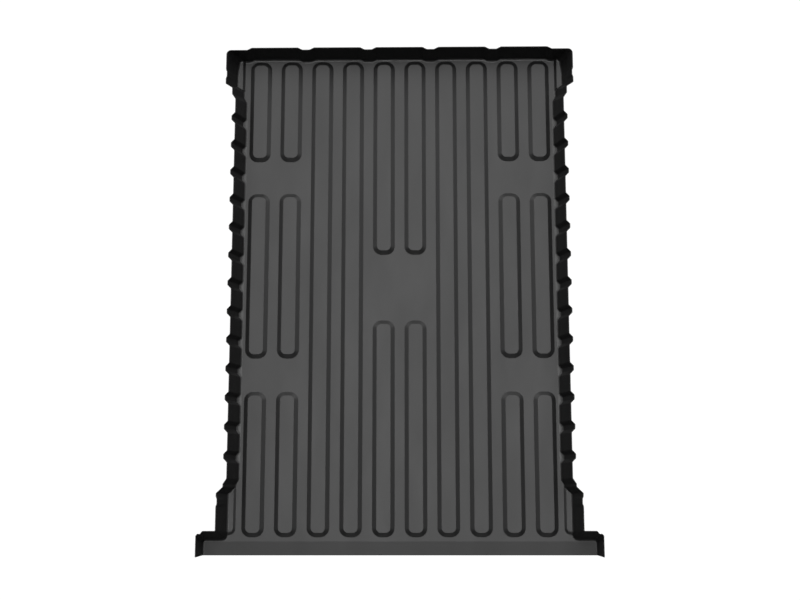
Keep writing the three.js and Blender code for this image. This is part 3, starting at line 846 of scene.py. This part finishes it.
for share in shares(10)[1:]:
    foot_y = ear_centre.y + (tail_edge - ear_centre.y) * share
    ear_places.append(wall_place(
        (EAR_FOOT, foot_y), (EAR_FOOT + COVE, foot_y), rim_corner.lerp(rim_tip, share), (1, 0),
        thin=apron_drop(foot_y)))
region_pair("ear", facing_out(wall_mesh("ear", ear_places, wall_painted_shade_rubber)))

half_columns = [(x, jog_foot) for x in evenly(0, JOG_WALL_END, APRON_SPACING)] + apron_ends
apron_columns = [(-x, y) for x, y in reversed(half_columns[1:])] + half_columns
apron_top, apron_bottom = [], []
for x, front_y in apron_columns:
    ys = [front_y + (tail_edge + EDGE_ROUNDING - front_y) * share for share in shares(10)]
    top = [(x, y, floor_top - apron_drop(y)) for y in ys]
    bottom = [(x, y, 0.0) for y in ys]
    for degrees in ROUNDING_DEGREES[1:]:
        out = EDGE_ROUNDING * math.sin(math.radians(degrees))
        down = EDGE_ROUNDING * (1 - math.cos(math.radians(degrees)))
        y = tail_edge + EDGE_ROUNDING - out
        top.append((x, y, floor_top - apron_drop(tail_edge + EDGE_ROUNDING) - down))
        bottom.append((x, y, 0.0))
    apron_top.append(top)
    apron_bottom.append(bottom)
apron_mesh = sheet_mesh("tail_apron", apron_top, apron_bottom, apron_rubber)
moulded_region("liner_tail_apron", apron_mesh, "tail_apron")


# ---- Floor sheet ---------------------------------------------------------------------------------
# The flat of the tray: one sheet with an opening under each raised rib, running into the front
# wall's curved foot, the shelves and the apron.

OUTLINE_SPACING = 0.05
UPRIGHT = 0.01

floor_rubber = rubber_material("floor_rubber", FLOOR_DARK, FLOOR_LIGHT, FLOOR_ROUGHNESS)


def rib_borders(mesh):
    """The edges where the ribs meet the flat floor, as point pairs."""
    pairs = []
    for face in mesh.polygons:
        if abs(face.normal.z) < UPRIGHT:
            pairs += [edge for edge in face.edge_keys
                      if all(abs(mesh.vertices[v].co.z - floor_top) < WELD for v in edge)]
    return pairs


def floor_mesh():
    work = bmesh.new()
    made = {}

    def vertex(x, y):
        key = (round(x, 6), round(y, 6))
        if key not in made:
            made[key] = work.verts.new((x, y, floor_top))
        return made[key]

    for a, b in rib_borders(rib_mesh):
        a, b = rib_mesh.vertices[a].co, rib_mesh.vertices[b].co
        work.edges.new((vertex(a.x, a.y), vertex(b.x, b.y)))
    outline = list(front_line)
    outline += [(floor_half, y) for y in evenly(front_foot, jog_foot, OUTLINE_SPACING)[1:]]
    outline += [(x, jog_foot) for x in evenly(floor_half, -floor_half, OUTLINE_SPACING)[1:]]
    outline += [(-floor_half, y) for y in evenly(jog_foot, front_foot, OUTLINE_SPACING)[1:-1]]
    for (ax, ay), (bx, by) in zip(outline, outline[1:] + outline[:1]):
        work.edges.new((vertex(ax, ay), vertex(bx, by)))
    bmesh.ops.triangle_fill(work, use_beauty=True, edges=work.edges[:], normal=(0, 0, 1))
    for face in work.faces:
        if face.normal.z < 0:
            face.normal_flip()
    mesh = bpy.data.meshes.new("floor_sheet")
    work.to_mesh(mesh)
    work.free()
    mesh.materials.append(floor_rubber)
    return mesh


floor_source = linked_object("floor_source", floor_mesh())
floor_thickness = floor_source.modifiers.new("floor_thickness", "SOLIDIFY")
floor_thickness.thickness = floor_top
floor_thickness.offset = -1.0
moulded_region("liner_floor_sheet", plain_mesh(floor_source), "floor_panel")


# ---- Ground, light and camera --------------------------------------------------------------------
# A pale studio floor that throws no light back, a soft dome that is bright overhead and towards the
# front, and a camera above the tail.

GROUND_REACH = 20.0
GROUND_HEIGHT = -0.0005
DOME_LIGHT = 3.0
DOME_FROM_BEHIND = (-0.24, 0.90)
DOME_LOW_FRONT = (0.68, 0.96)
DOME_LOW_FRONT_LOSS = 0.88
DOME_HORIZON = (0.09, 0.14)
SOFTBOX_LIGHT = 10.4
SOFTBOX_SIDES = (0.35, 0.0)
SOFTBOX_TAIL = (-0.36, -0.06)
SOFTBOX_FRONT = (0.46, 0.0)
TAIL_GLOW = 0.9
TAIL_GLOW_EDGE = (-0.76, -0.94)
TAIL_GLOW_HEIGHT = (0.08, 0.25)
CAMERA_LENS = 56.29
CAMERA_PLACE = (0.0669, -0.8765, 4.8190)
CAMERA_DEGREES = (10.1856, 0.7814, -0.0175)

ground_mesh = bpy.data.meshes.new("ground")
ground_corners = [(x * GROUND_REACH, y * GROUND_REACH, GROUND_HEIGHT)
                  for x, y in ((-1, -1), (1, -1), (1, 1), (-1, 1))]
ground_mesh.from_pydata(ground_corners, [], [(0, 1, 2, 3)])
ground = linked_object("ground", ground_mesh)
pale = bpy.data.materials.new("pale_ground")
pale.use_nodes = True
paper = pale.node_tree.nodes["Principled BSDF"]
paper.inputs["Base Color"].default_value = (0.05, 0.05, 0.05, 1.0)
paper.inputs["Roughness"].default_value = 0.9
paper.inputs["Specular IOR Level"].default_value = 0.0
paper.inputs["Emission Color"].default_value = (1.0, 1.0, 1.0, 1.0)
seen_paper = pale.node_tree.nodes.new("ShaderNodeLightPath").outputs["Is Camera Ray"]
pale.node_tree.links.new(seen_paper, paper.inputs["Emission Strength"])
ground_mesh.materials.append(pale)

world = bpy.data.worlds.new("studio_dome")
world.use_nodes = True
dome = world.node_tree
sky = dome.nodes["Background"]
direction = dome.nodes.new("ShaderNodeTexCoord").outputs["Generated"]
towards = place_node(dome, "ShaderNodeSeparateXYZ", {"Vector": direction}).outputs


def eased(value, span):
    """0 to 1 as value goes across span, with soft ends."""
    return place_node(dome, "ShaderNodeMapRange",
                      {"Value": value, "From Min": span[0], "From Max": span[1]},
                      interpolation_type="SMOOTHSTEP").outputs["Result"]


low_front = math_node(dome, "MULTIPLY", eased(towards["Y"], DOME_LOW_FRONT), DOME_LOW_FRONT_LOSS)
front_glow = math_node(dome, "MULTIPLY", eased(towards["Y"], DOME_FROM_BEHIND),
                       math_node(dome, "SUBTRACT", 1.0, low_front))
front_glow = math_node(dome, "MULTIPLY", front_glow, DOME_LIGHT)
front_glow = math_node(dome, "MULTIPLY", front_glow, eased(towards["Z"], DOME_HORIZON))
tail_glow = math_node(dome, "MULTIPLY", eased(towards["Y"], TAIL_GLOW_EDGE), TAIL_GLOW)
tail_glow = math_node(dome, "MULTIPLY", tail_glow, eased(towards["Z"], TAIL_GLOW_HEIGHT))
dome_glow = math_node(dome, "ADD", front_glow, tail_glow)
softbox = math_node(dome, "MULTIPLY", eased(math_node(dome, "ABSOLUTE", towards["X"]), SOFTBOX_SIDES),
                    eased(towards["Y"], SOFTBOX_TAIL))
softbox = math_node(dome, "MULTIPLY", softbox, eased(towards["Y"], SOFTBOX_FRONT))
softbox = math_node(dome, "MULTIPLY", softbox, math_node(dome, "GREATER_THAN", towards["Z"], 0.0))
glow = math_node(dome, "ADD", dome_glow, math_node(dome, "MULTIPLY", softbox, SOFTBOX_LIGHT))
seen = dome.nodes.new("ShaderNodeLightPath").outputs["Is Camera Ray"]
strength = place_node(dome, "ShaderNodeMix", {"Factor": seen, "A": glow, "B": 1.0}, data_type="FLOAT")
sky.inputs["Color"].default_value = (1.0, 1.0, 1.0, 1.0)
dome.links.new(strength.outputs["Result"], sky.inputs["Strength"])
bpy.context.scene.world = world
bpy.context.scene.view_settings.view_transform = "Standard"

lens = bpy.data.cameras.new("camera")
lens.lens = CAMERA_LENS
lens.sensor_width = 36.0
lens.clip_end = 100.0
camera = linked_object("camera", lens)
camera.location = CAMERA_PLACE
camera.rotation_euler = [math.radians(a) for a in CAMERA_DEGREES]
bpy.context.scene.camera = camera
